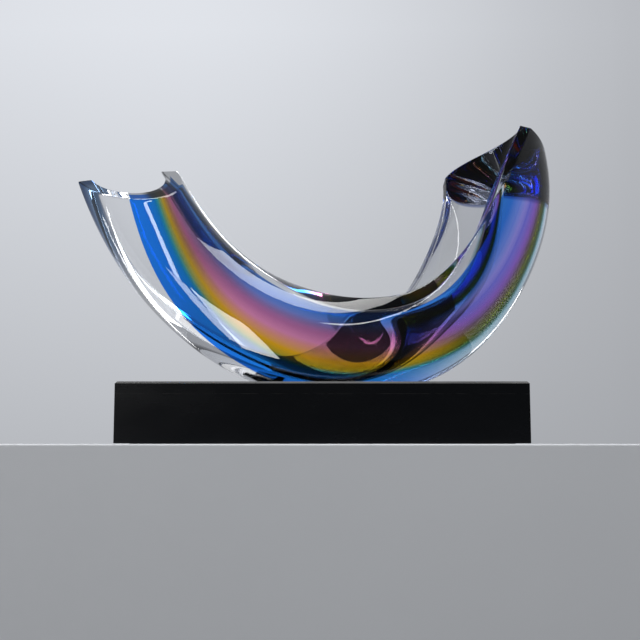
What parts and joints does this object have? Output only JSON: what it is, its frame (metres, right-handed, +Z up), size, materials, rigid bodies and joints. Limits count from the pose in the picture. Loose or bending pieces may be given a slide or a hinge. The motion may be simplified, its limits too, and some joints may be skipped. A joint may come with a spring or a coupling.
{
  "type": "art glass sculpture",
  "caption": "Thick clear glass arc, opened along a spiral, with a rainbow sheet of coloured glass inside, bonded by its flat ground foot to a long black plinth.",
  "frame": {"origin": "middle of the felt's underside, which is the middle of the plinth's outline", "axes": "+X along the plinth towards the higher end of the glass, +Y from the viewer to the back, +Z up"},
  "size_m": [0.4927, 0.14, 0.3229],
  "materials": {
    "clear_glass": "polished",
    "cobalt_glass": "polished",
    "lavender_glass": "polished",
    "rose_glass": "polished",
    "amber_glass": "polished",
    "teal_glass": "polished",
    "blue_glass": "polished",
    "clear_film": "clear silicone",
    "black_lacquer": "satin black lacquer",
    "bare_board": "bare fibre board and softwood",
    "screw_steel": "bright zinc",
    "black_felt": "short pile felt"
  },
  "bodies": {
    "root": {"outer_casing": "clear_glass", "inner_casing": "clear_glass", "cobalt_band": "cobalt_glass", "lavender_band": "lavender_glass", "rose_band": "rose_glass", "amber_band": "amber_glass", "teal_band": "teal_glass", "blue_band": "blue_glass", "foot_bond": "clear_film", "plinth_top": "black_lacquer", "plinth_front": "black_lacquer", "plinth_back": "black_lacquer", "plinth_left": "black_lacquer", "plinth_right": "black_lacquer", "plinth_bottom": "bare_board", "corner_blocks": "bare_board", "top_battens": "bare_board", "bottom_screws": "screw_steel", "felt_sheet": "black_felt"}
  },
  "joints": []
}
